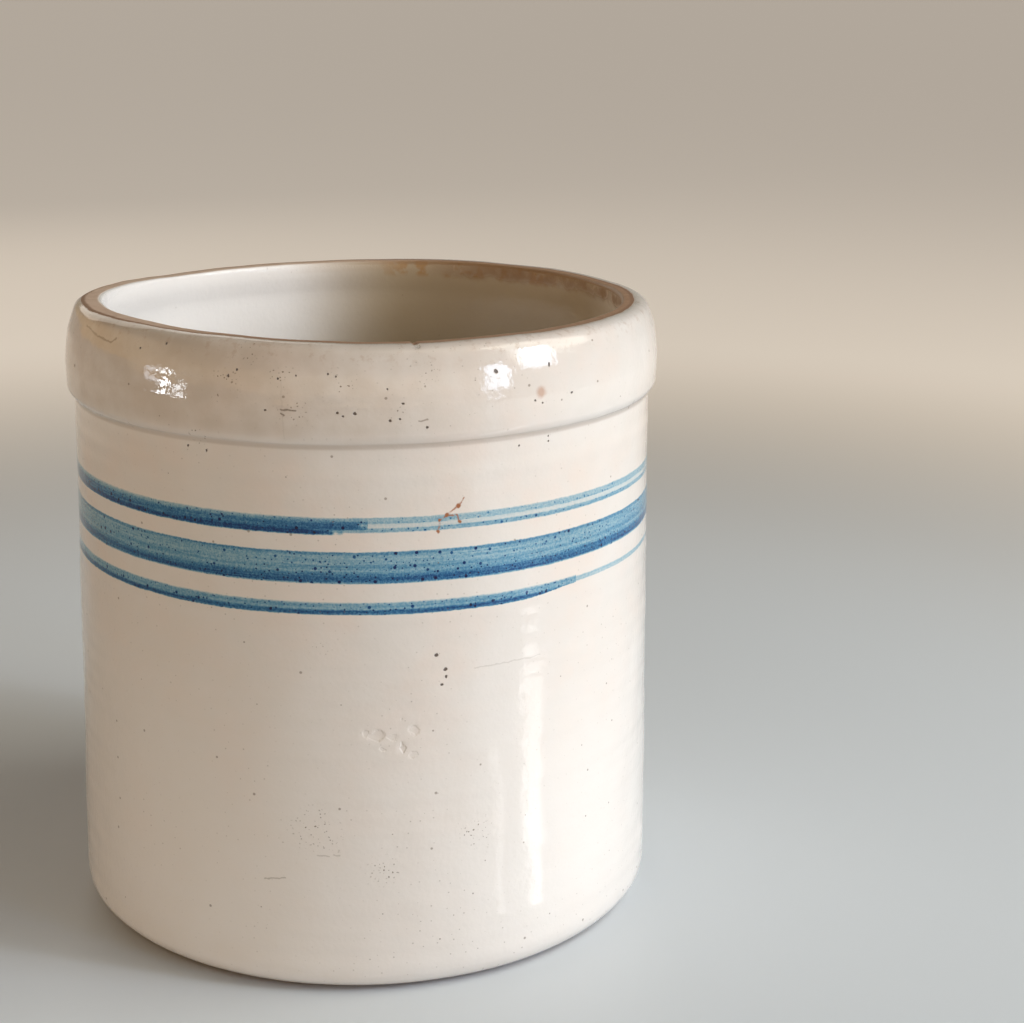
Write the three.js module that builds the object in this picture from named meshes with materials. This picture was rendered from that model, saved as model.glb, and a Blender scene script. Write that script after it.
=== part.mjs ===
// Straight-sided stoneware crock with a rolled collar, and the two half-moon weights that lie
// on its floor to hold vegetables under the brine. Millimetres, +Z up, origin at the centre of
// the base, on the surface that the crock stands on.

import * as THREE from 'three';
import { mergeVertices } from 'three/addons/utils/BufferGeometryUtils.js';

// Crock, outside
const CROCK_HEIGHT = 249.5;
const FOOT_RADIUS = 108.5;          // edge of the flat underside
const HEEL_RADIUS = 12;             // rounding from the underside up into the wall
const WALL_LOW = { radius: 120.3, height: 12 };   // the widest point of the crock
const WALL_MIDDLE = { radius: 117.6, height: 154 };
const WALL_HIGH = { radius: 116.5, height: 212.5 };

// Rolled collar
const COLLAR_RADIUS = 119.7;        // widest point of the collar
const COLLAR_WIDEST_HEIGHT = 227.5;
const UNDERCUT_ROUNDING = 4.5;      // lower edge of the collar
const UNDERCUT_INSET = 0.3;         // from the widest radius to the outside of that rounding
const UNDERCUT_HEIGHT = 217.8;      // centre of that rounding
const SHOULDER = { inset: 1.5, drop: 11 };        // from the widest radius, and below the rim
const TOP_EDGE = { inset: 4.4, drop: 2.4 };
const RIM_OUTER_RADIUS = 111.8;     // the flat ring on top lies inside this
const LIP_RADIUS = 104.6;           // narrowest point of the mouth
const LIP_ROUNDING = 1.2;
const THROAT_DROP = 6;              // the mouth stays narrow this far below the rim

// Crock, inside
const BORE = { radius: 106.6, height: 234 };      // straight below this height
const FLOOR_THICKNESS = 12;
const FLOOR_CORNER_RADIUS = 12;

// Half-moon weights
const WEIGHT_RADIUS = 95;
const WEIGHT_THICKNESS = 20;
const WEIGHT_GAP = 3;               // between the two straight edges
const WEIGHT_CORNER_RADIUS = 9;     // rounding of the pointed corners, seen from above
const WEIGHT_EDGE_ROUNDING = 3;
const FINGER_HOLE_RADIUS = 11;
const FINGER_HOLE_DISTANCE = 42;    // from the crock's axis to the hole's centre
const RESTING_GAP = 0.3;            // between a weight and the floor it rests on

// Fineness of the round surfaces
const TURN_SEGMENTS = 72;
const ARC_STEPS = 4;
const WALL_STEPS = 5;
const COLLAR_STEPS = 7;
const OUTLINE_STEPS = 8;
const EDGE_STEPS = 2;

// Arcs of the crock's section, in degrees: 0 points away from the axis and 90 points up
const HEEL_ARC = { from: -90, to: -15 };
const UNDERCUT_ARC = { from: -65, to: -5 };
const LIP_ARC = { from: 90, to: 180 };
const FLOOR_CORNER_ARC = { from: 0, to: -90 };

const glazedStoneware = new THREE.MeshStandardMaterial({
  color: 0xe2d8cb, roughness: 0.3, metalness: 0,
});
const bareStoneware = new THREE.MeshStandardMaterial({
  color: 0xd0c0a8, roughness: 0.7, metalness: 0,
});

// Points on an arc about (radius, height), from one angle of the span to the other.
function arc(radius, height, rounding, span) {
  return Array.from({ length: ARC_STEPS + 1 }, (unused, step) => {
    const degrees = span.from + (span.to - span.from) * step / ARC_STEPS;
    const angle = THREE.MathUtils.degToRad(degrees);
    return new THREE.Vector2(
      radius + rounding * Math.cos(angle),
      height + rounding * Math.sin(angle),
    );
  });
}

// Points on a smooth curve through the given points.
function curve(points, divisions) {
  return new THREE.SplineCurve(points).getPoints(divisions);
}

function at(radius, height) {
  return new THREE.Vector2(radius, height);
}

// Half section of the crock: from the axis under the floor, out and up the outside, over the
// rim, down the bore and back to the axis on top of the floor.
function crockProfile() {
  const heel = arc(FOOT_RADIUS, HEEL_RADIUS, HEEL_RADIUS, HEEL_ARC);
  const wall = curve([
    at(WALL_LOW.radius, WALL_LOW.height),
    at(WALL_MIDDLE.radius, WALL_MIDDLE.height),
    at(WALL_HIGH.radius, WALL_HIGH.height),
  ], WALL_STEPS);
  const undercutRadius = COLLAR_RADIUS - UNDERCUT_INSET - UNDERCUT_ROUNDING;
  const undercut = arc(undercutRadius, UNDERCUT_HEIGHT, UNDERCUT_ROUNDING, UNDERCUT_ARC);
  const collar = curve([
    at(COLLAR_RADIUS, COLLAR_WIDEST_HEIGHT),
    at(COLLAR_RADIUS - SHOULDER.inset, CROCK_HEIGHT - SHOULDER.drop),
    at(COLLAR_RADIUS - TOP_EDGE.inset, CROCK_HEIGHT - TOP_EDGE.drop),
    at(RIM_OUTER_RADIUS, CROCK_HEIGHT),
  ], COLLAR_STEPS);
  const lip = arc(LIP_RADIUS + LIP_ROUNDING, CROCK_HEIGHT - LIP_ROUNDING, LIP_ROUNDING, LIP_ARC);
  const throat = [at(LIP_RADIUS, CROCK_HEIGHT - THROAT_DROP), at(BORE.radius, BORE.height)];
  const corner = arc(
    BORE.radius - FLOOR_CORNER_RADIUS,
    FLOOR_THICKNESS + FLOOR_CORNER_RADIUS,
    FLOOR_CORNER_RADIUS,
    FLOOR_CORNER_ARC,
  );
  return [
    at(0, 0), ...heel, ...wall, ...undercut, ...collar,
    ...lip, ...throat, ...corner, at(0, FLOOR_THICKNESS),
  ];
}

function crockGeometry() {
  const geometry = new THREE.LatheGeometry(crockProfile(), TURN_SEGMENTS);
  return geometry.rotateX(Math.PI / 2);
}

// A half disc in plan, centred on the axis: its straight edge is at x = edge, and its two
// corners are rounded.
function halfMoon(edge, radius, corner) {
  const reach = corner + edge;
  const cornerY = Math.sqrt((radius - corner) ** 2 - reach ** 2);
  const tangent = Math.atan2(cornerY, reach);
  const shape = new THREE.Shape();
  shape.absarc(reach, -cornerY, corner, Math.PI, 2 * Math.PI - tangent, false);
  shape.absarc(0, 0, radius, -tangent, tangent, false);
  shape.absarc(reach, cornerY, corner, tangent, Math.PI, false);
  shape.closePath();
  return shape;
}

// The bevel grows the outline and narrows the hole by the edge rounding, so both start
// that much smaller and wider.
function weightGeometry() {
  const outline = halfMoon(
    WEIGHT_GAP / 2 + WEIGHT_EDGE_ROUNDING,
    WEIGHT_RADIUS - WEIGHT_EDGE_ROUNDING,
    WEIGHT_CORNER_RADIUS - WEIGHT_EDGE_ROUNDING,
  );
  const hole = new THREE.Path();
  const widened = FINGER_HOLE_RADIUS + WEIGHT_EDGE_ROUNDING;
  hole.absarc(FINGER_HOLE_DISTANCE, 0, widened, 0, 2 * Math.PI, true);
  outline.holes.push(hole);
  const extruded = new THREE.ExtrudeGeometry(outline, {
    depth: WEIGHT_THICKNESS - 2 * WEIGHT_EDGE_ROUNDING,
    curveSegments: OUTLINE_STEPS,
    bevelThickness: WEIGHT_EDGE_ROUNDING,
    bevelSize: WEIGHT_EDGE_ROUNDING,
    bevelSegments: EDGE_STEPS,
  });
  extruded.deleteAttribute('normal');
  extruded.deleteAttribute('uv');
  const geometry = mergeVertices(extruded, 0.001);
  geometry.translate(0, 0, WEIGHT_EDGE_ROUNDING);
  geometry.computeVertexNormals();
  return geometry;
}

function weight(name, turn) {
  const mesh = new THREE.Mesh(weightGeometry(), bareStoneware);
  mesh.name = name;
  mesh.rotation.z = turn;
  mesh.position.z = FLOOR_THICKNESS + RESTING_GAP;
  return mesh;
}

const crock = new THREE.Mesh(crockGeometry(), glazedStoneware);
crock.name = 'crock';

const fermenter = new THREE.Group();
fermenter.add(crock, weight('weight_right', 0), weight('weight_left', Math.PI));

export default fermenter;
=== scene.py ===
"""Looks for a stoneware crock fermenter: the thrown crock with its glaze and brushed blue bands, and
the two bare half-moon weights on its floor. Metres, +Z up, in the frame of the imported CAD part."""

import math

import bpy
import numpy as np
from mathutils import Matrix, Vector


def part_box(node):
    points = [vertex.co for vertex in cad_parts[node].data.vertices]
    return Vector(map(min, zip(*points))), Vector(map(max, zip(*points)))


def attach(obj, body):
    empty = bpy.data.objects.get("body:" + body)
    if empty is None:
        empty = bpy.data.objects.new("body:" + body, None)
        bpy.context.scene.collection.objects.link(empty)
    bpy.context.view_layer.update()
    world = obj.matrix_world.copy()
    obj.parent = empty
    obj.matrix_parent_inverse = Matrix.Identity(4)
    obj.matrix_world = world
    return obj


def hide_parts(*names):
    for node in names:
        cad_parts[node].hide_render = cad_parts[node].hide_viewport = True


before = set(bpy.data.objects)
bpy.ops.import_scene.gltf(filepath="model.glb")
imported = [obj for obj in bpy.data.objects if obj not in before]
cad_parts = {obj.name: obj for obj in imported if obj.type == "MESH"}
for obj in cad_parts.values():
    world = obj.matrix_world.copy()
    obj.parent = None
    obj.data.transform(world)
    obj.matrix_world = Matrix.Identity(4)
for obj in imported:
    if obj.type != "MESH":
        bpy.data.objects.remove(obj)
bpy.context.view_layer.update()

MM = 0.001

# The crock's section, in millimetres, as the CAD part has it. Height and widest radius come from its
# box.
crock_low, crock_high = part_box("crock")
CROCK_HEIGHT = crock_high.z / MM
WIDEST_RADIUS = crock_high.x / MM
FOOT_RADIUS = 108.5
HEEL_RADIUS = 12
WALL = [(WIDEST_RADIUS, 12), (117.6, 154), (116.5, 212.5)]
COLLAR_RADIUS = 119.7
COLLAR_WIDEST_HEIGHT = 227.5
UNDERCUT_ROUNDING = 4.5
UNDERCUT_INSET = 0.3
UNDERCUT_HEIGHT = 217.8
SHOULDER = (1.5, 11)                    # in from the collar's widest radius, and below the rim
TOP_EDGE = (4.4, 2.4)
RIM_OUTER_RADIUS = 111.8
LIP_RADIUS = 104.6
LIP_ROUNDING = 1.2
THROAT_DROP = 6
BORE_RADIUS = 106.6
BORE_HEIGHT = 234
FLOOR_THICKNESS = 12
FLOOR_CORNER_RADIUS = 12
HEEL_ARC = (-90, -15)                   # degrees: 0 points outwards and 90 up
UNDERCUT_ARC = (-65, -5)
LIP_ARC = (90, 180)
FLOOR_CORNER_ARC = (0, -90)
MM_PER_DEGREE = 117 * math.radians(1)   # turns an angle round the wall into a distance along it

# Fineness of the crock's mesh: distances between points in mm, and steps in an arc.
FLAT_SPACING = 9
WALL_SPACING = 1.4
COLLAR_SPACING = 1.2
RING_SPACING = 1.5
THROAT_SPACING = 2.5
BORE_SPACING = 4
HEEL_STEPS = 9
ROUNDING_STEPS = 8
LIP_STEPS = 4
FINE_SIDE = (-48, 62)                   # degrees round the crock with the finest marks
FINE_STEP = 0.55
COARSE_COLUMNS = 134

# The half-moon weights, in millimetres.
WEIGHT_RADIUS = 95
WEIGHT_THICKNESS = 20
WEIGHT_GAP = 3
WEIGHT_CORNER_RADIUS = 9
WEIGHT_EDGE_ROUNDING = 3
FINGER_HOLE_RADIUS = 11
FINGER_HOLE_DISTANCE = 42
WEIGHT_RAYS = 220                       # points in each loop round the finger hole
WEIGHT_EDGE_STEPS = 5
WEIGHT_SIDE_STEPS = 6
WEIGHT_FACE_STEPS = 17

# Marks on the glaze. An angle is in degrees round the crock from its front (-Y) towards +X, and a
# height is in millimetres above the table.
PINHOLES = [                            # angle, height, radius
    (23.1, 239.6, 0.95), (34.3, 239.9, 0.75), (39.2, 228.3, 0.6), (10.5, 221.4, 0.6),
    (-1.7, 226.8, 0.7), (3.8, 235.3, 0.5), (6.4, 230, 0.6), (4.2, 224.2, 0.6), (5.9, 224.5, 0.5),
    (-67.7, 229.8, 0.8), (-37.3, 246.9, 0.5), (-43.3, 243.8, 0.6), (-23.7, 238.3, 0.6),
    (-22.2, 240.6, 0.5), (28.5, 210.7, 0.6), (35.2, 210.8, 0.5), (35.1, 212.8, 0.45),
    (12.3, 135.5, 0.9), (14, 129.6, 1), (13.4, 123.8, 0.7), (14.2, 126.8, 0.7), (30.8, 227.8, 0.5),
    (32.4, 226.3, 0.5), (-4.7, 226.9, 0.7), (-3.7, 225.9, 0.6), (-16.9, 227.4, 0.6),
    (-14.8, 238.3, 0.5), (-11.7, 239.8, 0.55), (-6.2, 240.4, 0.5), (-5, 239.4, 0.5),
    (-33, 210.5, 0.6), (-29, 209.6, 0.5),
]
SCRATCHES = [                           # start and end as (angle, height), width, strength
    ((-63.8, 246.2), (-57.2, 244.2), 0.7, 0.5), ((-57.2, 244.2), (-52.1, 243.5), 0.7, 0.6),
    ((-52.1, 243.5), (-50.6, 245.4), 0.6, 0.6), ((-14.2, 237.8), (-13.7, 216.9), 0.35, 0.1),
    ((-14.1, 227.7), (-11.7, 227.3), 0.6, 0.9), ((-14.1, 226.5), (-13.7, 225.6), 0.5, 0.9),
    ((-19, 46.7), (-15.2, 47.8), 0.4, 0.5), ((19.6, 128.7), (33.4, 129), 0.3, 0.25),
    ((-9.1, 57.8), (-7, 57.6), 0.4, 0.35), ((-6.2, 58.2), (-5.2, 58.1), 0.4, 0.35),
    ((-5.4, 59.5), (-5.3, 60.3), 0.4, 0.3), ((9.1, 223.7), (10.5, 224), 0.6, 0.7),
]
CRACK = [(17.5, 194), (16.5, 191), (14.4, 188), (13.1, 186), (12.7, 182)]
CRACK_BRANCH = [(14.4, 188), (16.3, 187.6), (16.8, 185.3)]
CRACK_BLOBS = [
    (16.5, 191, 0.9), (14.4, 188, 0.9), (13.1, 186.2, 0.6), (12.7, 182.2, 0.8), (16.8, 185.3, 0.8),
]
PITTED = [                              # patches full of fine pits: angle, height, radius
    (-9.5, 68, 13), (-8.3, 138.5, 5), (-20.6, 246.5, 7), (-4, 236, 9), (3, 52, 9), (20, 62, 10),
    (-30, 215, 6), (6, 226, 5), (-12, 228, 8), (-25, 236, 10), (10, 240, 8), (-14, 240, 7),
]
STAIN = (32.1, 230.4, 3)
CHIPS = [                               # angle, height, half width, half height, depth
    (1.5, 105.5, 3.4, 2.3, 0.35), (-0.4, 106.4, 1.2, 1.8, 0.3), (6.1, 100.3, 1.1, 2.4, 0.45),
    (8.3, 107.3, 2.2, 2.1, 0.25), (8.1, 97.3, 1.6, 1.2, 0.2), (5.8, 111.2, 0.6, 0.8, 0.3),
    (2.6, 99.7, 1, 1, 0.2), (4.5, 104.4, 2.4, 1.4, 0.2), (9.3, 249.3, 1.3, 0.9, 0.7),
]
DENTS = [(-29, 15.4, 9, 0.7), (73.4, 24.2, 7, -0.5), (-57.9, 65.7, 30, 0.4), (20, 45.5, 26, 0.25)]

# The blue bands: how dense the pigment is at each height.
WIDE_BAND = [
    (163.8, 0), (164.7, 0.85), (165.7, 0.95), (166.7, 0.75), (167.7, 0.5), (168.6, 0.32),
    (170.1, 0.42), (171.3, 0.32), (174.3, 0.3), (175, 0.5), (175.5, 0.55), (176, 0),
]
UPPER_BAND_LOADED = [
    (182, 0), (182.7, 1.1), (183.7, 1.25), (184.4, 0.75), (185.6, 0.75), (186.6, 0.62), (187.4, 0.36),
    (188.1, 0.24), (188.7, 0),
]
UPPER_BAND_LINE = 184.1                 # the dark line along its lower edge lies below this height
UPPER_BAND_DRY = [
    (182.8, 0), (183.3, 0.3), (184.4, 0.28), (184.8, 0.07), (186, 0.07), (186.4, 0.24), (188.2, 0.22),
    (188.7, 0),
]
UPPER_BAND_BREAK = 0.3
LOWER_BAND_LOADED = [
    (152, 0), (152.5, 0.85), (153.5, 0.95), (154.2, 0.45), (154.7, 0.32), (155.5, 0.35),
    (156.4, 0.32), (157.1, 0),
]
LOWER_BAND_DRY = [(154.3, 0), (154.7, 0.18), (156.2, 0.17), (156.6, 0)]
LOWER_BAND_BREAK = 42.5
BAND_DROP = 0.35                        # all three bands lie this much lower than the heights above
PIGMENT_PASSES = (0.012, 0.121, 0.35)   # share of red, green and blue let through at density 1

# How the rim and the collar's lower edge rise and fall round the crock, in mm: the cosine and the
# sine part of each harmonic of the angle.
RIM_WAVE = [(1.02, 0.33), (-0.37, -0.8), (-0.45, 0.22)]
COLLAR_LIFT = 1.05
COLLAR_TILT = 1.0
COLLAR_MOVES = (190, 215)               # heights between which the collar's rise and fall sets in
RIM_MOVES = (224, 246)

# What throwing left, in mm.
OVAL = [                                # waves round the rim: how many, how high, phase
    (2, 0.35, 0.6), (3, 0.22, 2.1),
]
SWELLS = [(0.16, 55), (0.05, 17)]       # height and wavelength
THROWING_RINGS = [(0, 15), (0.004, 6)]  # share of the variation that runs round, and wavelength
THROWING_RING_DEPTH = 0.045
WEIGHT_SWELLS = [(0.22, 40), (0.1, 13)]
WEIGHT_SHRINKS = 0.2
SEED = 7
WEIGHT_SEED = SEED + 11

# Colours of the glaze, what has marked it, and painted light and shade, as shares of red, green and
# blue.
GLAZE_CREAM = (0.68, 0.64, 0.605)
GLAZE_PINK = (0.685, 0.605, 0.55)
GLAZE_GREY = (0.655, 0.62, 0.58)
# paler glaze low on the wall: painted light
GLAZE_PAINTED_LIGHT_LOW = (0.80, 0.765, 0.735)
# darker, browner glaze in blotches on the left of the collar
GLAZE_DARKER_LEFT = (0.47, 0.385, 0.31)
# The lining: painted light on the left, where light falls in, and painted shade at the back on the
# right.
LINING_PAINTED_LIGHT = (0.90, 0.87, 0.845)
LINING_PAINTED_SHADE = (0.47, 0.38, 0.265)
IRON = (0.16, 0.12, 0.085)
PINHOLE = (0.06, 0.035, 0.025)
RUST = (0.30, 0.10, 0.03)
STAIN_BROWN = (0.45, 0.25, 0.16)
# painted shade in the groove under the collar, with darker pooled glaze
GROOVE_SHADE_AND_POOLED_GLAZE = (0.36, 0.29, 0.23)
WORN_GLAZE = (0.42, 0.29, 0.21)
GOLDEN_GLAZE = (0.42, 0.23, 0.08)
BROWN_LIP = (0.27, 0.15, 0.07)
RING_CLAY = ((0.26, 0.145, 0.08), (0.44, 0.28, 0.18))
RING_CLAY_LEFT = ((0.50, 0.34, 0.24), (0.74, 0.58, 0.47))
RING_EDGE = (0.26, 0.145, 0.085)

# Colours of the bare clay of the weights.
CLAY_BUFF = (0.60, 0.49, 0.36)
CLAY_BROWN = (0.52, 0.40, 0.28)
CLAY_SAND = (0.72, 0.62, 0.48)
CLAY_IRON = (0.15, 0.09, 0.05)

# Where things lie on the crock, in mm from the axis or above the table.
OUTSIDE_RADII = (109.0, 110.5)          # the outside begins here on the rim
LINING_RADII = (108.6, 107.8)           # and the lining here
WALL_HEIGHTS = (3.0, 8.0)
COLLAR_HEIGHTS = (213.0, 222.0)
GROOVE_HEIGHT = 212.9                   # the narrow shadowed line under the collar

# The floor, in mm from the axis.
FLOOR_HALF = 250000
FLOOR_NEAR = (0.71, 0.755, 0.80)
FLOOR_FAR = (0.62, 0.55, 0.47)
FLOOR_TURNS_WARM = (350.0, 1100.0)
FLOOR_GLOW = (0.36, 0.325, 0.285)       # keeps the distant floor as pale as the near floor
FLOOR_STARTS_GLOWING = (600.0, 1300.0)
FLOOR_ROUGHNESS = 0.5


# ---------------------------------------------------------------- shapes

def arc(radius, height, rounding, start, end, steps):
    """Points of an arc about (radius, height); 0 degrees points outwards and 90 up."""
    angles = np.radians(np.linspace(start, end, steps + 1))
    return [(radius + rounding * math.cos(a), height + rounding * math.sin(a)) for a in angles]


def spline(points, steps):
    """A smooth curve through the points, with that many steps between each two."""
    ends = [points[0], *points, points[-1]]
    found = []
    for a, b, c, d in zip(ends, ends[1:], ends[2:], ends[3:]):
        a, b, c, d = (np.array(p, float) for p in (a, b, c, d))
        into, out = (c - a) / 2, (d - b) / 2
        for t in np.arange(steps) / steps:
            cubic = 2 * b - 2 * c + into + out
            square = -3 * b + 3 * c - 2 * into - out
            found.append(tuple(cubic * t**3 + square * t**2 + into * t + b))
    return [*found, points[-1]]


def resample(points, spacing):
    """The same polyline with its points that far apart."""
    line = np.array(points, float)
    along = np.concatenate([[0], np.cumsum(np.linalg.norm(np.diff(line, axis=0), axis=1))])
    count = max(1, round(along[-1] / spacing))
    at = np.linspace(0, along[-1], count + 1)
    return [(np.interp(s, along, line[:, 0]), np.interp(s, along, line[:, 1])) for s in at]


def crock_section():
    """Half section from the axis under the floor, up the outside and down the inside, in mm."""
    under = resample([(0, 0), (FOOT_RADIUS, 0)], FLAT_SPACING)
    heel = arc(FOOT_RADIUS, HEEL_RADIUS, HEEL_RADIUS, *HEEL_ARC, HEEL_STEPS)
    wall = resample(spline(WALL, 40), WALL_SPACING)
    undercut_radius = COLLAR_RADIUS - UNDERCUT_ROUNDING - UNDERCUT_INSET
    undercut = arc(
        undercut_radius, UNDERCUT_HEIGHT, UNDERCUT_ROUNDING, *UNDERCUT_ARC, ROUNDING_STEPS
    )
    collar = resample(spline([
        (COLLAR_RADIUS, COLLAR_WIDEST_HEIGHT),
        *((COLLAR_RADIUS - inset, CROCK_HEIGHT - drop) for inset, drop in (SHOULDER, TOP_EDGE)),
        (RIM_OUTER_RADIUS, CROCK_HEIGHT),
    ], 12), COLLAR_SPACING)
    ring_end = LIP_RADIUS + LIP_ROUNDING
    ring = resample([(RIM_OUTER_RADIUS, CROCK_HEIGHT), (ring_end, CROCK_HEIGHT)], RING_SPACING)
    lip = arc(ring_end, CROCK_HEIGHT - LIP_ROUNDING, LIP_ROUNDING, *LIP_ARC, LIP_STEPS)
    throat = resample(
        [(LIP_RADIUS, CROCK_HEIGHT - THROAT_DROP), (BORE_RADIUS, BORE_HEIGHT)], THROAT_SPACING
    )
    corner = arc(
        BORE_RADIUS - FLOOR_CORNER_RADIUS, FLOOR_THICKNESS + FLOOR_CORNER_RADIUS,
        FLOOR_CORNER_RADIUS, *FLOOR_CORNER_ARC, ROUNDING_STEPS,
    )
    bore = resample([throat[-1], corner[0]], BORE_SPACING)
    floor = resample([corner[-1], (0, FLOOR_THICKNESS)], FLAT_SPACING)
    section = []
    for part in (under, heel, wall, undercut, collar, ring, lip, throat, bore, corner, floor):
        for point in part:
            if not section or math.dist(section[-1], point) > 0.05:
                section.append(tuple(point))
    return np.array(section)


def section_normals(section):
    """Unit normals of the section, pointing out of the clay."""
    forward = np.gradient(section, axis=0)
    normals = np.stack([forward[:, 1], -forward[:, 0]], axis=1)
    return normals / np.linalg.norm(normals, axis=1, keepdims=True)


def columns():
    """Angles round the crock, in degrees: closer together on the side with the finest marks."""
    start, end = FINE_SIDE
    fine = np.arange(start, end, FINE_STEP)
    coarse = np.linspace(end, start + 360, COARSE_COLUMNS, endpoint=False)
    return np.concatenate([fine, coarse])


def swell(points, wavelength, seed, waves=16):
    """A smooth random height, about -1 to 1, at each of the points: waves in seeded directions."""
    rng = np.random.default_rng(seed)
    directions = rng.normal(size=(waves, 3))
    directions /= np.linalg.norm(directions, axis=1, keepdims=True)
    phases = rng.uniform(0, 2 * math.pi, waves)
    stretches = rng.uniform(0.7, 1.4, waves)
    turns = points @ (directions * stretches[:, None]).T * (2 * math.pi / wavelength) + phases
    return np.sin(turns).sum(axis=-1) / math.sqrt(waves)


def wrapped(angles):
    """Angles brought to -180 to 180 degrees."""
    return (np.asarray(angles) + 180) % 360 - 180


def ramp(values, start, end):
    """0 up to start, rising evenly to 1 at end."""
    return np.clip((values - start) / (end - start), 0, 1)


def crock_points(section, normals, angles):
    """Places of the crock's points, in mm, with what the potter's hands and the kiln left."""
    turn = np.radians(angles)[None, :]
    radius, height = section[:, :1], section[:, 1:]
    out, up = normals[:, :1], normals[:, 1:]
    z = height + 0 * turn
    points = np.stack([radius * np.sin(turn), -radius * np.cos(turn), z], axis=-1)

    oval = sum(high * np.cos(times * turn + phase) for times, high, phase in OVAL)
    rim_wave = sum(
        cosine * np.cos(times * turn) + sine * np.sin(times * turn)
        for times, (cosine, sine) in enumerate(RIM_WAVE, start=1)
    )
    collar_wave = COLLAR_LIFT + COLLAR_TILT * np.sin(turn)
    at_collar, at_rim = ramp(height, *COLLAR_MOVES), ramp(height, *RIM_MOVES)
    rise = at_collar * collar_wave * (1 - at_rim) + at_rim * rim_wave

    push = sum(high * swell(points, long, SEED + i) for i, (high, long) in enumerate(SWELLS))
    push = push + THROWING_RING_DEPTH * sum(
        swell(points * np.array([round_it, round_it, 1.0]), long, SEED + len(SWELLS) + i)
        for i, (round_it, long) in enumerate(THROWING_RINGS)
    )
    outside = (out > 0) | (height > CROCK_HEIGHT - 4)
    for angle, at, reach, depth in DENTS:
        across = wrapped(angles[None, :] - angle) * MM_PER_DEGREE
        away = np.hypot(across, height - at) / reach
        push = push - outside * depth * np.exp(-(away**2))
    for angle, at, wide, tall, depth in CHIPS:
        across = wrapped(angles[None, :] - angle) * MM_PER_DEGREE
        away = np.hypot(across / wide, (height - at) / tall)
        push = push - outside * depth * np.clip(1.6 - 1.6 * away, 0, 1)

    # The foot stays flat on the table, and nothing moves next to the axis.
    underside = (out < 0.2) & (height < 5)
    push = push * np.where(underside, 0, 1) * np.maximum(ramp(height, 0, 6), (out < 0) * 1.0)
    calm = ramp(radius, 20, 60)
    push = push * calm
    radius = radius + ramp(height, 0, CROCK_HEIGHT) * oval * calm + push * out
    return np.stack([radius * np.sin(turn), -radius * np.cos(turn), z + rise + push * up], axis=-1)


def mesh_object(name, points, faces):
    """A smooth-shaded mesh object from points in mm."""
    mesh = bpy.data.meshes.new(name)
    mesh.from_pydata([tuple(p) for p in np.asarray(points) * MM], [], faces)
    mesh.polygons.foreach_set("use_smooth", [True] * len(mesh.polygons))
    mesh.update()
    thing = bpy.data.objects.new(name, mesh)
    bpy.context.scene.collection.objects.link(thing)
    return thing


def crock_object():
    """The crock as one closed surface: rings of points between a pole under the floor and one on it."""
    section = crock_section()
    normals = section_normals(section)
    angles = columns()
    rows, across = len(section), len(angles)
    grid = crock_points(section, normals, angles)[1:-1].reshape(-1, 3)
    low_pole = len(grid)
    points = np.vstack([grid, [[0, 0, 0], [0, 0, FLOOR_THICKNESS]]])
    faces = []
    for row in range(rows - 3):
        here, above = row * across, (row + 1) * across
        for column in range(across):
            after = (column + 1) % across
            faces.append((here + column, here + after, above + after, above + column))
    last = (rows - 3) * across
    for column in range(across):
        after = (column + 1) % across
        faces.append((low_pole, after, column))
        faces.append((low_pole + 1, last + column, last + after))
    return mesh_object("crock_body", points, faces)


def half_moon_reach(angle, inset):
    """How far the outline of a weight, drawn in by inset, is from the finger hole's centre."""
    along = np.array([math.cos(angle), math.sin(angle)])
    centre = np.array([FINGER_HOLE_DISTANCE, 0.0])
    edge = WEIGHT_GAP / 2 + inset
    radius = WEIGHT_RADIUS - inset
    corner = WEIGHT_CORNER_RADIUS - inset
    corner_x = WEIGHT_GAP / 2 + WEIGHT_CORNER_RADIUS
    corner_y = math.sqrt((WEIGHT_RADIUS - WEIGHT_CORNER_RADIUS) ** 2 - corner_x**2)

    def to_circle(middle, size):
        offset = centre - middle
        half = offset @ along
        inside = half * half - offset @ offset + size * size
        return -half + math.sqrt(inside) if inside > 0 else None

    reach = to_circle(np.zeros(2), radius)
    if along[0] < 0:
        reach = min(reach, (edge - FINGER_HOLE_DISTANCE) / along[0])
    place = centre + along * reach
    beyond = np.array([corner_x, math.copysign(corner_y, place[1])])
    past_straight = abs(place[1]) > corner_y
    within_corner = math.atan2(abs(place[1]), place[0]) > math.atan2(corner_y, corner_x)
    if past_straight and within_corner:
        rounded = to_circle(beyond, corner)
        reach = rounded if rounded is not None else reach
    return reach


def weight_loops():
    """The loops of a weight's mesh, from the top of the finger hole down it, out underneath, up
    the outside and back over the top: share of the way from hole to outline, inset and height."""
    top, rounding = WEIGHT_THICKNESS, WEIGHT_EDGE_ROUNDING
    quarter = np.radians(np.linspace(0, 90, WEIGHT_EDGE_STEPS + 1))
    edge = [(rounding * (1 - math.cos(a)), rounding * (1 - math.sin(a))) for a in quarter]
    side = np.linspace(rounding, top - rounding, WEIGHT_SIDE_STEPS + 1)[1:-1]
    face = np.linspace(0, 1, WEIGHT_FACE_STEPS + 1)[1:-1]
    return [
        *((0, inset, top - rise) for inset, rise in reversed(edge)),
        *((0, 0, height) for height in side[::-1]),
        *((0, inset, rise) for inset, rise in edge),
        *((share, rounding, 0) for share in face),
        *((1, inset, rise) for inset, rise in reversed(edge)),
        *((1, 0, height) for height in side),
        *((1, inset, top - rise) for inset, rise in edge),
        *((share, rounding, top) for share in face[::-1]),
    ]


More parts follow.
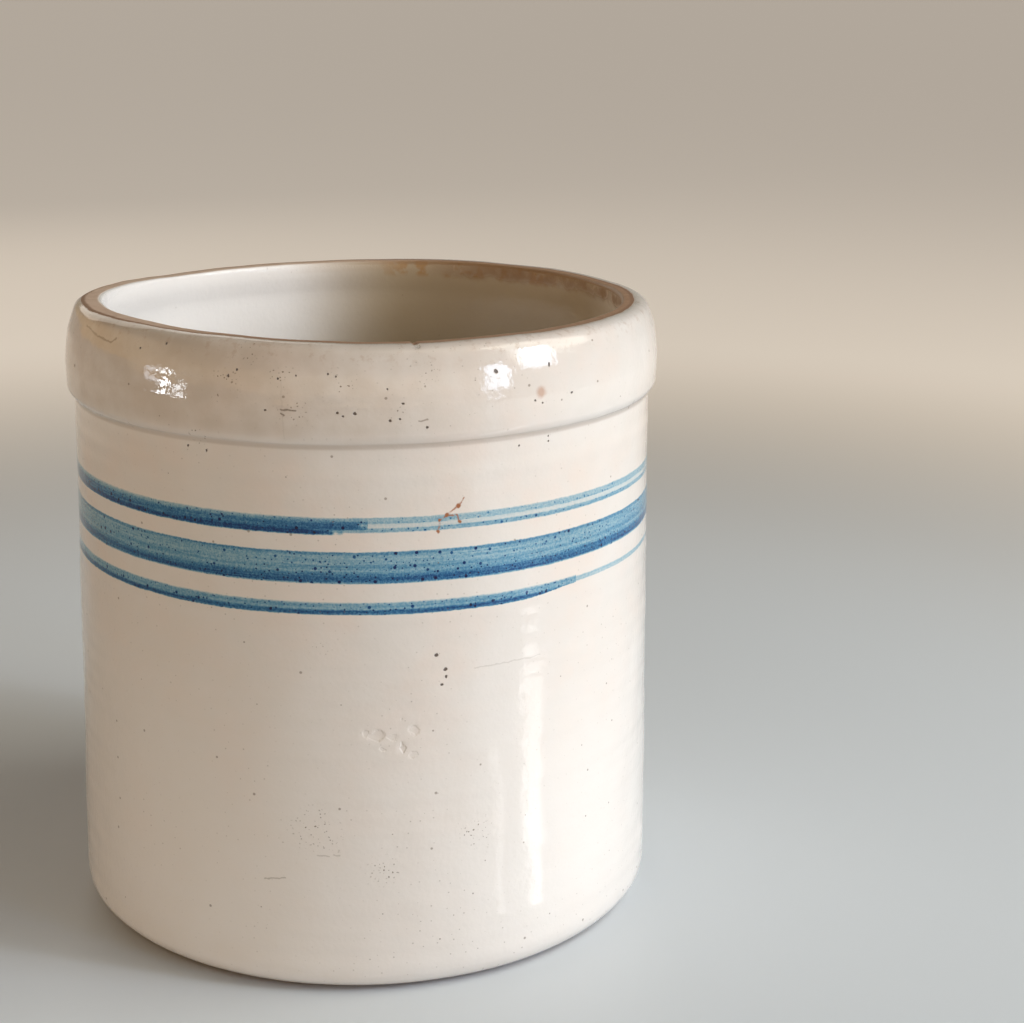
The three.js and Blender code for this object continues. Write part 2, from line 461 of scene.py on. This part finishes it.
def weight_object(node, turn):
    """The half-moon weight that stands for the node, turned about the crock's axis."""
    angles = np.linspace(0, 2 * math.pi, WEIGHT_RAYS, endpoint=False)
    loops = weight_loops()
    points = []
    for share, inset, height in loops:
        hole = FINGER_HOLE_RADIUS + inset
        for angle in angles:
            reach = hole * (1 - share) + half_moon_reach(angle, inset) * share
            x = FINGER_HOLE_DISTANCE + reach * math.cos(angle)
            points.append((x, reach * math.sin(angle), height))
    points = np.array(points)
    outward = points - np.array([FINGER_HOLE_DISTANCE, 0, WEIGHT_THICKNESS / 2])
    outward /= np.linalg.norm(outward, axis=1, keepdims=True)
    shift = sum(
        high * swell(points, long, WEIGHT_SEED + i) for i, (high, long) in enumerate(WEIGHT_SWELLS)
    ) - WEIGHT_SHRINKS
    points = points + outward * shift[:, None]
    points[:, 2] = np.maximum(points[:, 2], 0)
    cos, sin = math.cos(turn), math.sin(turn)
    spin = np.array([[cos, -sin, 0], [sin, cos, 0], [0, 0, 1]])
    points = points @ spin.T + np.array([0, 0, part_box(node)[0].z / MM])

    faces = []
    for row in range(len(loops)):
        here, below = row * WEIGHT_RAYS, (row + 1) % len(loops) * WEIGHT_RAYS
        for column in range(WEIGHT_RAYS):
            after = (column + 1) % WEIGHT_RAYS
            faces.append((here + column, below + column, below + after, here + after))
    return mesh_object(f"{node}_stone", points, faces)


# ---------------------------------------------------------------- materials

class Field:
    """A number or vector at each point of a surface, from a shader node, with arithmetic."""

    def __init__(self, graph, socket):
        self.graph = graph
        self.socket = socket

    def __add__(self, other):
        return self.graph.math("ADD", self, other)

    def __sub__(self, other):
        return self.graph.math("SUBTRACT", self, other)

    def __rsub__(self, other):
        return self.graph.math("SUBTRACT", other, self)

    def __mul__(self, other):
        return self.graph.math("MULTIPLY", self, other)

    def __truediv__(self, other):
        return self.graph.math("DIVIDE", self, other)

    __radd__ = __add__
    __rmul__ = __mul__


class Graph:
    """A material's nodes. Each method adds a node and gives its output as a Field."""

    def __init__(self, name):
        self.material = bpy.data.materials.new(name)
        self.material.use_nodes = True
        self.nodes = self.material.node_tree.nodes
        self.links = self.material.node_tree.links
        self.shader = self.nodes["Principled BSDF"]
        place = self.node("ShaderNodeTexCoord", output="Object")
        self.place = self.vector("SCALE", place, scale=1 / MM)
        parts = self.nodes.new("ShaderNodeSeparateXYZ")
        self.link(self.place, parts.inputs[0])
        self.x, self.y, self.z = (Field(self, parts.outputs[i]) for i in range(3))
        self.radius = self.vector("LENGTH", self.combine(self.x, self.y, 0.0))
        self.angle = self.math("ARCTAN2", self.x, self.y * -1.0) * math.degrees(1)
        self.along = self.angle * MM_PER_DEGREE
        self.unrolled = self.combine(self.along, self.z, 0.0)
        self.unfolded = self.combine(self.along, self.z - self.radius, 0.0)

    def link(self, value, socket):
        if isinstance(value, Field):
            self.links.new(value.socket, socket)
        else:
            socket.default_value = value

    def node(self, kind, *values, output=0, **settings):
        node = self.nodes.new(kind)
        for setting, value in settings.items():
            setattr(node, setting, value)
        for value, socket in zip(values, node.inputs):
            if value is not None:
                self.link(value, socket)
        return Field(self, node.outputs[output])

    def math(self, operation, *values):
        return self.node("ShaderNodeMath", *values, operation=operation)

    def vector(self, operation, *values, scale=None):
        node = self.nodes.new("ShaderNodeVectorMath")
        node.operation = operation
        for value, socket in zip(values, node.inputs):
            self.link(value, socket)
        if scale is not None:
            self.link(scale, node.inputs["Scale"])
        single = operation in ("LENGTH", "DISTANCE", "DOT_PRODUCT")
        return Field(self, node.outputs["Value" if single else "Vector"])

    def combine(self, x, y, z):
        return self.node("ShaderNodeCombineXYZ", x, y, z)

    def step(self, value, low, high, least=0.0, most=1.0):
        """A smooth change from least at low to most at high; low may be the larger."""
        node = self.nodes.new("ShaderNodeMapRange")
        node.interpolation_type = "SMOOTHSTEP"
        for name, given in zip(
            ("Value", "From Min", "From Max", "To Min", "To Max"), (value, low, high, least, most)
        ):
            self.link(given, node.inputs[name])
        return Field(self, node.outputs["Result"])

    def curve(self, value, points):
        """Straight lines between (value, result) points, level beyond the ends."""
        low, high = points[0][0], points[-1][0]
        most = max(result for _, result in points)
        node = self.nodes.new("ShaderNodeValToRGB")
        stops = node.color_ramp.elements
        for index, (at, result) in enumerate(points):
            where = (at - low) / (high - low)
            stop = stops[index] if index < 2 else stops.new(where)
            stop.position = where
            stop.color = (result / most,) * 3 + (1,)
        self.link((value - low) / (high - low), node.inputs["Fac"])
        return Field(self, node.outputs["Color"]) * most

    def noise(self, size, where=None, detail=2.0, rough=0.5):
        """Smooth noise, 0 to 1, with lumps about size mm across."""
        node = self.nodes.new("ShaderNodeTexNoise")
        self.link(where or self.place, node.inputs["Vector"])
        node.inputs["Scale"].default_value = 1 / size
        node.inputs["Detail"].default_value = detail
        node.inputs["Roughness"].default_value = rough
        return Field(self, node.outputs["Fac"])

    def specks(self, cell, radius, share, where=None, seed=0.0):
        """Round specks up to radius mm, one in each cell of that many mm, kept in a share of them."""
        node = self.nodes.new("ShaderNodeTexVoronoi")
        node.voronoi_dimensions = "2D" if where is not None else "3D"
        place = where or self.place
        if seed:
            place = self.vector("ADD", place, (seed, seed * 1.7, seed * 0.3))
        self.link(place, node.inputs["Vector"])
        node.inputs["Scale"].default_value = 1 / cell
        split = self.nodes.new("ShaderNodeSeparateColor")
        self.links.new(node.outputs["Color"], split.inputs[0])
        chosen = self.math("LESS_THAN", Field(self, split.outputs[0]), share)
        size = self.step(Field(self, split.outputs[1]), 0.0, 1.0, 0.45 * radius / cell, radius / cell)
        shape = self.step(Field(self, node.outputs["Distance"]) / size, 1.0, 0.55)
        return shape * chosen

    def facing(self, angle, least, full):
        """1 on the side of the crock towards that angle; the limits are cosines of the angle off it."""
        off = self.math("COSINE", (self.angle - angle) * math.radians(1))
        return self.step(off, least, full)

    def harmonics(self, parts):
        """A sum of cosines and sines of the angle round the crock, and of its double, and so on."""
        total = 0.0
        for times, (cosine, sine) in enumerate(parts, start=1):
            turn = self.angle * math.radians(times)
            total = self.math("COSINE", turn) * cosine + self.math("SINE", turn) * sine + total
        return total

    def shifted(self, across, upwards, reach):
        """The unrolled wall with its places moved by two noises, up to half of reach mm each."""
        offset = self.combine(across - 0.5, upwards - 0.5, 0.0)
        return self.vector("ADD", self.unrolled, self.vector("SCALE", offset, scale=reach))

    def spot(self, angle, height, radius, where=None, soft=0.5):
        """1 at a place on the unrolled wall, 0 beyond radius mm."""
        middle = (angle * MM_PER_DEGREE, height, 0.0)
        away = self.vector("DISTANCE", where or self.unrolled, middle)
        return self.step(away, radius, radius * (1 - soft))

    def stroke(self, start, end, width, where=None):
        """1 on a straight line between two places on the unrolled wall, 0 beyond width / 2."""
        first, last = (Vector((angle * MM_PER_DEGREE, z, 0)) for angle, z in (start, end))
        way = last - first
        from_start = self.vector("SUBTRACT", where or self.unrolled, tuple(first))
        share = self.vector("DOT_PRODUCT", from_start, tuple(way / way.length_squared))
        share = self.math("MINIMUM", self.math("MAXIMUM", share, 0.0), 1.0)
        nearest = self.vector("SCALE", tuple(way), scale=share)
        away = self.vector("DISTANCE", from_start, nearest)
        return self.step(away, width / 2 + 0.25, width / 4)

    def most(self, first, *others):
        for other in others:
            first = self.math("MAXIMUM", first, other)
        return first

    def mix(self, share, first, second):
        """A colour between first and second."""
        node = self.nodes.new("ShaderNodeMix")
        node.data_type = "RGBA"
        self.link(share, node.inputs["Factor"])
        for value, name in ((first, "A_Color"), (second, "B_Color")):
            socket = next(s for s in node.inputs if s.identifier == name)
            self.link(value if isinstance(value, Field) else (*value, 1.0), socket)
        return Field(self, next(s for s in node.outputs if s.identifier == "Result_Color"))

    def tint(self, colour, channels):
        """The colour with its red, green and blue multiplied by three fields."""
        split = self.nodes.new("ShaderNodeSeparateColor")
        self.link(colour, split.inputs[0])
        joined = self.nodes.new("ShaderNodeCombineColor")
        for index, channel in enumerate(channels):
            self.link(Field(self, split.outputs[index]) * channel, joined.inputs[index])
        return Field(self, joined.outputs[0])

    def finish(self, colour, roughness, height):
        """Joins colour, roughness and relief in mm to the shader."""
        self.link(colour, self.shader.inputs["Base Color"])
        self.link(roughness, self.shader.inputs["Roughness"])
        bump = self.nodes.new("ShaderNodeBump")
        bump.inputs["Strength"].default_value = 1.0
        bump.inputs["Distance"].default_value = MM
        self.link(height, bump.inputs["Height"])
        self.links.new(bump.outputs[0], self.shader.inputs["Normal"])
        return self.material


def stroke_age(graph, begin):
    """How far along its turn the brush was, 0 where it began to 1 where it came round again."""
    return graph.math("FRACT", (begin - graph.angle) / 360.0 + 1.0)


def blue_density(graph):
    """Density of the brushed blue with its dark specks."""
    g = graph
    drift = (g.noise(60.0) - 0.5) * 0.8 + (g.noise(9.0) - 0.5) * 0.3
    drift = drift + (g.noise(1.4, detail=3.0) - 0.5) * 0.6
    height = g.z + drift + BAND_DROP
    brushed = g.vector("MULTIPLY", g.place, (0.02, 0.02, 1.0))
    streaks = g.step(g.noise(0.9, brushed, detail=3.0, rough=0.7), 0.3, 0.7, 0.75, 1.25)
    fine = g.step(g.noise(0.8, detail=3.0, rough=0.7), 0.34, 0.66, 0.7, 1.3)

    wide = g.curve(height, WIDE_BAND)

    age = stroke_age(g, UPPER_BAND_BREAK)
    dry = g.step(age, 0.4, 0.75)
    lower_part = g.step(height, UPPER_BAND_LINE + 0.3, UPPER_BAND_LINE - 0.3)
    at = g.angle + (g.noise(2.4, detail=3.0) - 0.5) * 9.0
    ends = g.step(at, -4.5, -9.0) * lower_part + g.step(at, 1.5, -2.5) * (1.0 - lower_part)
    front_left = g.step(age, 0.6, 0.55)
    lifted = (1.0 - ends) * front_left
    loaded = g.curve(height, UPPER_BAND_LOADED) * (1.0 - lifted)
    upper = loaded * (1.0 - dry) + g.curve(height, UPPER_BAND_DRY) * g.most(dry, lifted)

    age = stroke_age(g, LOWER_BAND_BREAK)
    dry = g.step(age, 0.45, 0.8)
    taper = g.step(g.angle, 27.0, LOWER_BAND_BREAK, 0.0, 2.0)
    tip = g.step(height - taper, LOWER_BAND_LOADED[0][0] - 0.1, LOWER_BAND_LOADED[1][0] - 0.1)
    loaded = g.curve(height, LOWER_BAND_LOADED) * (tip + (1.0 - tip) * g.step(age, 0.2, 0.3))
    lower = loaded * (1.0 - dry) + g.curve(height, LOWER_BAND_DRY) * dry

    pigment = wide + upper + lower
    near = g.step(pigment, 0.1, 0.5)
    specks = g.specks(5.0, 0.75, 0.7, g.unrolled) + g.specks(2.3, 0.42, 0.6, g.unrolled, seed=31.0)
    return pigment * streaks * fine + specks * near * 1.6


def glaze_tone(g):
    """Colour of the glaze: mottled outside, paler lower down the wall as painted light, darker and
    browner in blotches on the left of the collar, and inside painted pale on the left and painted dark
    in shade at the back on the right."""
    patches = g.step(g.noise(38.0, detail=3.0), 0.35, 0.68)
    blotches = g.step(g.noise(9.0, detail=2.0), 0.3, 0.7)
    colour = g.mix(patches, GLAZE_CREAM, GLAZE_PINK)
    colour = g.mix(blotches * 0.5, colour, GLAZE_GREY)
    # Painted light: the glaze is made paler lower down the wall, towards the heel.
    colour = g.mix(g.step(g.z, 200.0, 10.0, 0.0, 0.75), colour, GLAZE_PAINTED_LIGHT_LOW)
    # Darker, browner glaze in blotches on the left of the collar.
    darker_left = g.step(g.z, *COLLAR_HEIGHTS) * g.facing(-60.0, -0.2, 0.8)
    darker_left = darker_left * g.step(g.noise(13.0, detail=3.0), 0.3, 0.65, 0.45, 1.0)
    colour = g.mix(darker_left * 0.55, colour, GLAZE_DARKER_LEFT)
    # Painted light on the lining's left and painted shade at its back on the right.
    lining = g.mix(g.facing(145.0, 0.55, 0.92), LINING_PAINTED_LIGHT, LINING_PAINTED_SHADE)
    return g.mix(g.step(g.radius, *LINING_RADII), colour, lining)


def glaze_marks(g, outer):
    """Masks of the dark specks with the scratches, of the pinholes, the rusty crack and the stain."""
    ragged = g.noise(2.2, g.vector("ADD", g.place, (50.0, 0.0, 9.0)))
    place = g.shifted(g.noise(2.2), ragged, 1.4)
    peppered = g.step(g.noise(40.0, detail=2.0), 0.45, 0.65)
    iron = g.specks(5.2, 0.4, 0.7, g.unfolded, seed=3.0) * (0.1 + 0.3 * peppered)
    iron = g.most(iron, g.specks(17.0, 0.7, 0.35, g.unfolded, seed=12.0) * 0.6)
    iron = iron * (0.25 + 0.75 * outer)
    pitted = g.most(*[g.spot(a, z, r, soft=0.8) for a, z, r in PITTED]) * outer
    tiny = g.specks(1.7, 0.4, 0.75, place, seed=5.0)
    tiny = tiny * g.step(g.noise(4.0, detail=2.0), 0.42, 0.58) * pitted
    scratches = g.most(*[
        g.stroke(start, end, width, place) * strength for start, end, width, strength in SCRATCHES
    ]) * outer
    specks = g.most(iron, tiny * 0.9, scratches * 0.8)
    pinholes = g.most(*[g.spot(a, z, r * 0.95, place) for a, z, r in PINHOLES]) * outer

    rust = g.most(
        *[g.stroke(a, b, 0.6, place) for a, b in zip(CRACK, CRACK[1:])],
        *[g.stroke(a, b, 0.5, place) for a, b in zip(CRACK_BRANCH, CRACK_BRANCH[1:])],
    ) * g.step(g.noise(1.6, detail=3.0), 0.4, 0.56, 0.25, 0.85)
    rust = g.most(rust, *[g.spot(a, z, r * 1.2, place) for a, z, r in CRACK_BLOBS]) * outer
    stain = g.spot(*STAIN, place, soft=0.7) * outer
    return specks, pinholes, rust, stain


def groove_shade_mask(g):
    """1 on the narrow line under the collar, which rises and falls with it: painted shade in the
    groove, with some darker pooled glaze.
    """
    collar_wave = g.math("SINE", g.angle * math.radians(1)) * COLLAR_TILT
    away = g.z - collar_wave - COLLAR_LIFT - GROOVE_HEIGHT
    return g.step(g.math("ABSOLUTE", away), 1.5, 0.4)


def rim_and_foot(g, colour, outer):
    """The colour with the rim's worn glaze and bare ring and the bare foot, and the masks of the
    bare clay and of the brown lip."""
    ragged = (g.noise(7.0, detail=3.0, rough=0.6) - 0.5) * 2.6
    below_rim = CROCK_HEIGHT + g.harmonics(RIM_WAVE) - g.z
    left = g.facing(-110.0, -0.1, 0.6)
    inward = 109.6 + 3.0 * left - g.radius + ragged * 0.5

    worn = g.step(g.noise(4.0, detail=4.0, rough=0.7), 0.52, 0.68) * g.step(below_rim, 9.0, 3.0)
    colour = g.mix(worn * outer * 0.35, colour, WORN_GLAZE)
    golden = g.step(g.noise(6.0, detail=3.0), 0.45, 0.6) * g.facing(150.0, 0.88, 0.96)
    golden = golden * g.step(below_rim, 8.0, 5.0) * g.step(g.radius, 108.2, 107.6)
    colour = g.mix(golden * 0.8, colour, GOLDEN_GLAZE)

    lip = g.step(g.radius, 107.6, 107.0) * g.step(below_rim + ragged * 0.4, 1.9, 1.2)
    right_lip = g.step(g.radius, 107.8, 107.3) * g.step(below_rim + ragged * 2.0, 8.5, 4.0)
    right_lip = right_lip * g.step(g.noise(9.0, detail=3.0), 0.3, 0.6, 0.45, 1.0)
    brown_lip = g.most(lip * (1.0 - left), right_lip * g.facing(95.0, 0.2, 0.7))
    colour = g.mix(brown_lip * 0.85, colour, BROWN_LIP)

    ring = g.step(below_rim, 5.0, 4.0) * g.step(inward, -0.4, 0.4) * g.step(g.radius, 104.8, 106.4)
    bare = g.most(ring, g.step(g.z, 2.2, 1.2))
    clay = g.mix(g.noise(3.0, detail=4.0), *RING_CLAY)
    clay = g.mix(left * 0.85, clay, g.mix(g.noise(5.0, detail=3.0), *RING_CLAY_LEFT))
    clay = g.mix(g.step(inward, 2.4, 1.0) * 0.85, clay, RING_EDGE)
    return g.mix(bare, colour, clay), bare, brown_lip


def glaze_relief(g, outer):
    """Height of the glaze in mm: orange peel, the grain of the bare ring, and the chips."""
    peel = (g.noise(2.0, detail=2.0) - 0.5) * 0.07 + (g.noise(11.0, detail=1.0) - 0.5) * 0.14
    on_ring = g.step(g.z, CROCK_HEIGHT - 5.0, CROCK_HEIGHT - 3.0) * g.step(g.radius, 112.5, 110.5)
    grain = (g.noise(0.8, detail=2.0) - 0.5) * (0.008 + 0.2 * on_ring)
    place = g.shifted(g.noise(3.5, detail=3.0), g.noise(3.1, g.unfolded, detail=3.0), 5.0)
    chips = []
    for angle, height, wide, tall, depth in CHIPS:
        offset = g.vector("SUBTRACT", place, (angle * MM_PER_DEGREE, height, 0.0))
        away = g.vector("LENGTH", g.vector("MULTIPLY", offset, (1 / wide, 1 / tall, 0.0)))
        chips.append(g.step(away, 1.15, 0.6) * (depth * 0.55))
    return peel + grain - g.most(*chips) * outer


def glaze_material():
    """Cream glaze with the brushed blue bands, its marks, and the bare clay of the rim and foot."""
    g = Graph("glazed_stoneware")
    outer = g.step(g.radius, *OUTSIDE_RADII)
    wall = outer * g.step(g.z, *WALL_HEIGHTS)
    density = blue_density(g) * wall
    colour = g.tint(glaze_tone(g), [g.math("POWER", share, density) for share in PIGMENT_PASSES])
    specks, pinholes, rust, stain = glaze_marks(g, outer)
    for share, mark in (
        (specks, IRON),
        (pinholes * 0.9, PINHOLE),
        (rust, RUST),
        (stain * 0.65, STAIN_BROWN),
        # painted shade in the groove under the collar, with some darker pooled glaze
        (groove_shade_mask(g) * wall * 0.45, GROOVE_SHADE_AND_POOLED_GLAZE),
    ):
        colour = g.mix(share, colour, mark)
    colour, bare, brown_lip = rim_and_foot(g, colour, outer)
    relief = glaze_relief(g, outer) - pinholes * 0.35
    gloss = 0.03 + g.noise(14.0) * 0.05
    dulled = g.most(pinholes, rust, stain * 0.3, brown_lip)
    roughness = gloss * (1.0 - bare) + bare * 0.8 + dulled * 0.4
    return g.finish(colour, roughness, relief)


def bare_material():
    """Unglazed stoneware: warm buff clay, fine sand and small iron specks."""
    g = Graph("bare_stoneware")
    colour = g.mix(g.step(g.noise(30.0, detail=4.0), 0.3, 0.7), CLAY_BUFF, CLAY_BROWN)
    sand = g.step(g.noise(0.9, detail=3.0), 0.45, 0.75)
    colour = g.mix(sand * 0.35, colour, CLAY_SAND)
    iron = g.specks(4.0, 0.5, 0.55) * 0.75
    colour = g.mix(iron, colour, CLAY_IRON)
    relief = (g.noise(0.9, detail=3.0) - 0.5) * 0.16 + (g.noise(7.0) - 0.5) * 0.2 - iron * 0.1
    return g.finish(colour, 0.68 + g.noise(5.0) * 0.15, relief)


def floor_material():
    """A pale matt table top, warmer far from the object, where it also glows."""
    g = Graph("pale_floor")
    far = g.step(g.radius, *FLOOR_TURNS_WARM)
    g.link(g.mix(far, FLOOR_NEAR, FLOOR_FAR), g.shader.inputs["Base Color"])
    g.shader.inputs["Roughness"].default_value = FLOOR_ROUGHNESS
    g.shader.inputs["Emission Color"].default_value = (*FLOOR_GLOW, 1.0)
    g.link(g.step(g.radius, *FLOOR_STARTS_GLOWING), g.shader.inputs["Emission Strength"])
    return g.material


# ---------------------------------------------------------------- pieces

crock = crock_object()
crock.data.materials.append(glaze_material())
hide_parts("crock")
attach(crock, "crock")

bare_stoneware = bare_material()
for side, turn in (("right", 0), ("left", math.pi)):
    node = f"weight_{side}"
    stone = weight_object(node, turn)
    stone.data.materials.append(bare_stoneware)
    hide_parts(node)
    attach(stone, node)

floor = mesh_object(
    "floor",
    [(x * FLOOR_HALF, y * FLOOR_HALF, 0) for x, y in ((-1, -1), (1, -1), (1, 1), (-1, 1))],
    [(0, 1, 2, 3)],
)
floor.data.materials.append(floor_material())


# ---------------------------------------------------------------- light and camera

TARGET = Vector((0, 0, CROCK_HEIGHT * MM * 0.6))
LAMPS = [
    # name, azimuth, elevation, distance, width and height in degrees, radiance, colour
    ("window_near", 50, 12, 2.5, 9, 19, 10, (0.66, 0.80, 1.0)),
    ("window_far", 70, 19, 2.5, 15, 20, 8.5, (0.66, 0.80, 1.0)),
    ("window_gap", 67.5, 22, 2.5, 4, 12, 30, (0.85, 0.92, 1.0)),
    ("key", 78, 36, 2.2, 36, 36, 3.7, (1.0, 0.95, 0.83)),
    ("top", 60, 60, 2.2, 40, 40, 1.0, (1.0, 0.9, 0.7)),
    ("back_fill", 205, 28, 2.2, 40, 30, 1.1, (1.0, 0.93, 0.84)),
    ("low_left", -76, 1, 2.0, 4, 4.5, 30, (0.9, 0.95, 1.0)),
    ("low_left_near", -69, -1, 2.0, 4, 3.5, 14, (0.9, 0.95, 1.0)),
    ("low_left_wide", -82, 2, 2.1, 7, 3.5, 5, (0.85, 0.9, 1.0)),
]
STRIPS = [                              # lights lying on the floor, which gleam low on the wall
    # name, near end and far end as (x, y) in mm, width in mm, radiance
    ("gleam_near", (118, -120), (165, -140), 12, 3.4),
    ("gleam_middle", (165, -140), (270, -184), 26, 3.4),
    ("gleam_far", (270, -184), (455, -260), 42, 2.6),
    ("glint_near", (100, -146), (150, -189), 7, 1.8),
    ("glint_far", (150, -189), (244, -270), 15, 1.8),
]
STRIP_HEIGHT = 2                        # millimetres above the floor
STRIP_COLOUR = (1.0, 0.98, 0.95)
ROOM_SEEN = (0.47, 0.42, 0.355)         # what the camera sees past the floor, like the far floor
ROOM_ALL_ROUND = (0.15, 0.14, 0.14)     # radiance near the horizon
ROOM_LEFT = (1.0, 0.54, 0.12)           # what is added towards -X, -Y and +Y
ROOM_FRONT = (1.60, 1.24, 0.82)
ROOM_BACK = (0.15, 0.14, 0.09)
ROOM_ABOVE = (0.02, 0.018, 0.015)
ROOM_DARKENS = (0.12, 0.5)              # sines of the elevations that the change spans


def area_light(name, wide, tall, radiance, colour, place, turn):
    """A rectangular light, wide and tall in metres, that the camera does not see."""
    light = bpy.data.lights.new(name, "AREA")
    light.shape = "RECTANGLE"
    light.size = wide
    light.size_y = tall
    light.energy = radiance * math.pi * wide * tall
    light.color = colour
    thing = bpy.data.objects.new(name, light)
    thing.location = place
    thing.rotation_mode = "QUATERNION"
    thing.rotation_quaternion = turn
    thing.visible_camera = False
    bpy.context.scene.collection.objects.link(thing)
    return thing


def lamp(name, azimuth, elevation, distance, wide, tall, radiance, colour):
    """A light turned to the object, with its size in degrees as the object sees it. Azimuth 0 is
    in front, and 90 is +X."""
    a, e = math.radians(azimuth), math.radians(elevation)
    towards = Vector((math.sin(a) * math.cos(e), -math.cos(a) * math.cos(e), math.sin(e)))
    wide, tall = (2 * distance * math.tan(math.radians(angle) / 2) for angle in (wide, tall))
    turn = towards.to_track_quat("Z", "Y")
    return area_light(name, wide, tall, radiance, colour, TARGET + towards * distance, turn)


def strip(name, near, far, width, radiance):
    """A light that lies on the floor and faces up."""
    start, end = (Vector((*spot, STRIP_HEIGHT)) * MM for spot in (near, far))
    along, down = (end - start).normalized(), Vector((0, 0, -1))
    turn = Matrix((along, down.cross(along), down)).transposed().to_quaternion()
    size = (end - start).length, width * MM
    return area_light(name, *size, radiance, STRIP_COLOUR, (start + end) / 2, turn)


# The low lamps stand on the floor and would flood it round them, so they light only the crock.
crock_only = bpy.data.collections.new("crock_only")
crock_only.objects.link(crock)
for row in LAMPS:
    light = lamp(*row)
    if row[0].startswith("low_"):
        light.light_linking.receiver_collection = crock_only
for row in STRIPS:
    strip(*row)


def room_world():
    """A room that is brightest low in front and on the left, under a dark ceiling."""
    world = bpy.data.worlds.new("room")
    world.use_nodes = True
    nodes, links = world.node_tree.nodes, world.node_tree.links
    split = nodes.new("ShaderNodeSeparateXYZ")
    links.new(nodes.new("ShaderNodeTexCoord").outputs["Generated"], split.inputs[0])

    def calculate(operation, first, second):
        node = nodes.new("ShaderNodeMath")
        node.operation = operation
        for value, socket in zip((first, second), node.inputs):
            if isinstance(value, float):
                socket.default_value = value
            else:
                links.new(value, socket)
        return node.outputs[0]

    def scaled(colour, amount):
        node = nodes.new("ShaderNodeVectorMath")
        node.operation = "SCALE"
        node.inputs[0].default_value = colour
        links.new(amount, node.inputs["Scale"])
        return node.outputs[0]

    def towards(axis, sign):
        part = calculate("MAXIMUM", calculate("MULTIPLY", split.outputs[axis], sign), 0.0)
        return calculate("MULTIPLY", part, part)

    fade = nodes.new("ShaderNodeMapRange")
    fade.interpolation_type = "SMOOTHSTEP"
    links.new(split.outputs[2], fade.inputs["Value"])
    fade.inputs["From Min"].default_value, fade.inputs["From Max"].default_value = ROOM_DARKENS
    low = calculate("SUBTRACT", 1.0, fade.outputs["Result"])
    total = scaled(ROOM_ABOVE, fade.outputs["Result"])
    for colour, amount in (
        (ROOM_ALL_ROUND, low),
        (ROOM_LEFT, calculate("MULTIPLY", low, towards(0, -1.0))),
        (ROOM_FRONT, calculate("MULTIPLY", low, towards(1, -1.0))),
        (ROOM_BACK, calculate("MULTIPLY", low, towards(1, 1.0))),
    ):
        add = nodes.new("ShaderNodeVectorMath")
        links.new(total, add.inputs[0])
        links.new(scaled(colour, amount), add.inputs[1])
        total = add.outputs[0]
    seen = nodes.new("ShaderNodeMix")
    seen.data_type = "VECTOR"
    links.new(nodes.new("ShaderNodeLightPath").outputs["Is Camera Ray"], seen.inputs["Factor"])
    for socket in seen.inputs:
        if socket.identifier == "A_Vector":
            links.new(total, socket)
        elif socket.identifier == "B_Vector":
            socket.default_value = ROOM_SEEN
    result = next(s for s in seen.outputs if s.identifier == "Result_Vector")
    links.new(result, nodes["Background"].inputs["Color"])
    return world


bpy.context.scene.world = room_world()

CAMERA_PLACE = Vector((0, -0.7772, 0.3728))
YAW, PITCH, ROLL = (math.radians(v) for v in (4.52, 15.42, 0.74))
SENSOR_WIDTH = 36                       # millimetres, as is the focal length
FOCAL_LENGTH = 67.46
CAMERA_SEES_TO = 1000                   # metres, past the end of the floor


def camera_object():
    """The camera, turned by yaw, pitch and then roll from looking along +Y."""
    data = bpy.data.cameras.new("camera")
    data.sensor_width = SENSOR_WIDTH
    data.lens = FOCAL_LENGTH
    data.clip_end = CAMERA_SEES_TO
    forward = Vector((
        math.sin(YAW) * math.cos(PITCH), math.cos(YAW) * math.cos(PITCH), -math.sin(PITCH)
    ))
    level = Vector((math.cos(YAW), -math.sin(YAW), 0))
    upright = level.cross(forward)
    right = level * math.cos(ROLL) + upright * math.sin(ROLL)
    up = upright * math.cos(ROLL) - level * math.sin(ROLL)
    thing = bpy.data.objects.new("camera", data)
    axes = Matrix((right, up, -forward)).transposed().to_4x4()
    thing.matrix_world = Matrix.Translation(CAMERA_PLACE) @ axes
    bpy.context.scene.collection.objects.link(thing)
    return thing


bpy.context.scene.camera = camera_object()
bpy.context.scene.view_settings.view_transform = "Standard"
